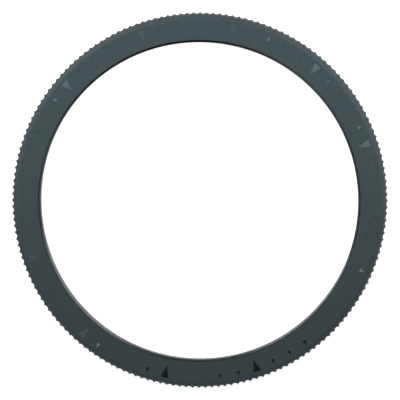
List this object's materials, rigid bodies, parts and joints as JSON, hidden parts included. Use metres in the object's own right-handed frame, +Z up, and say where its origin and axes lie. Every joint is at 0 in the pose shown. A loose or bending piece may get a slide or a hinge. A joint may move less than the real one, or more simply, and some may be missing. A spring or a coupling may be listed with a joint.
{
  "type": "rotating watch bezel",
  "caption": "Coin-edged watch bezel with a minute scale of small triangles; turns in clicks on a seat ring that fits round the neck of a watch case.",
  "frame": {"origin": "centre of the seat ring's underside, on the axis of the ring", "axes": "+Z up through the face, towards the wearer's eye; +X and +Y through large marks of the scale"},
  "size_m": [0.041, 0.041, 0.003],
  "materials": {
    "coated_steel": "blasted, matt dark coating",
    "mark_lacquer": "gloss lacquer",
    "polished_steel": "polished, dark coating",
    "hardened_steel": "ground",
    "spring_steel": "drawn",
    "key_brass": "machined",
    "ptfe": "matt",
    "nitrile": "matt"
  },
  "bodies": {
    "seat": {"seat_ring": "polished_steel", "seat_gasket": "nitrile", "slide_ring": "ptfe", "click_spring_1": "spring_steel", "click_spring_2": "spring_steel", "click_spring_3": "spring_steel", "click_spring_4": "spring_steel"},
    "bezel": {"bezel_ring": "coated_steel", "hour_marks": "mark_lacquer", "minute_marks": "mark_lacquer", "click_ring": "hardened_steel", "click_ring_keys": "key_brass", "retaining_wire": "spring_steel", "friction_gasket": "nitrile"},
    "plunger_1": {"click_plunger_1": "hardened_steel"},
    "plunger_2": {"click_plunger_2": "hardened_steel"},
    "plunger_3": {"click_plunger_3": "hardened_steel"},
    "plunger_4": {"click_plunger_4": "hardened_steel"}
  },
  "joints": [
    {"name": "bezel_turn", "type": "hinge", "parent": "seat", "child": "bezel", "pos_m": [0, 0, 0.0015], "axis": [0, 0, 1], "continuous": true},
    {"name": "plunger_1_dip", "type": "slide", "parent": "seat", "child": "plunger_1", "axis": [0, 0, 1], "range_m": [-0.00023, 0], "stiffness_N_per_m": 800, "springref_m": 0.00005, "deforming": ["click_spring_1"]},
    {"name": "plunger_2_dip", "type": "slide", "parent": "seat", "child": "plunger_2", "axis": [0, 0, 1], "range_m": [-0.00023, 0], "stiffness_N_per_m": 800, "springref_m": 0.00005, "deforming": ["click_spring_2"]},
    {"name": "plunger_3_dip", "type": "slide", "parent": "seat", "child": "plunger_3", "axis": [0, 0, 1], "range_m": [-0.00023, 0], "stiffness_N_per_m": 800, "springref_m": 0.00005, "deforming": ["click_spring_3"]},
    {"name": "plunger_4_dip", "type": "slide", "parent": "seat", "child": "plunger_4", "axis": [0, 0, 1], "range_m": [-0.00023, 0], "stiffness_N_per_m": 800, "springref_m": 0.00005, "deforming": ["click_spring_4"]}
  ]
}
